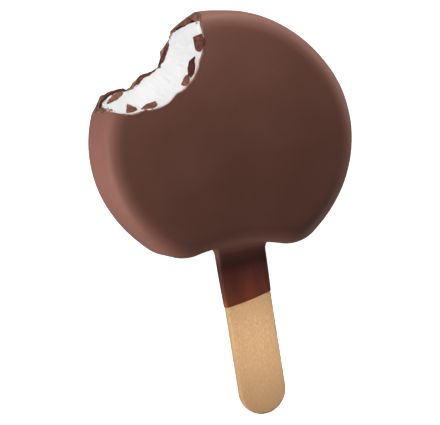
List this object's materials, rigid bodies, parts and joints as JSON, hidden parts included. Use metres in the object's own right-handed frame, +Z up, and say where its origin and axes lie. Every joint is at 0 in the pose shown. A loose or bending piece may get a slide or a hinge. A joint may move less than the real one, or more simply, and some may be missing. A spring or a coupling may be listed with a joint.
{
  "type": "ice cream bar",
  "caption": "Round flat ice cream bar in a thin chocolate shell on a flat wooden stick, with a bite taken out of its upper left side.",
  "frame": {"origin": "under the middle of the round head, on the surface that the bar lies on", "axes": "+Z up, out of the front face; +Y from the stick's free end to the top of the head; +X to the right as seen from the front"},
  "size_m": [0.0792, 0.1234, 0.022],
  "materials": {
    "chocolate": "smooth milk chocolate with a soft satin gloss, rough and crumbly where it is broken",
    "ice_cream": "frozen vanilla ice cream, airy and crumbly where it is bitten",
    "wood": "bare birch with a fine straight grain"
  },
  "bodies": {
    "root": {"chocolate_shell": "chocolate", "ice_cream": "ice_cream", "stick": "wood"}
  },
  "joints": []
}
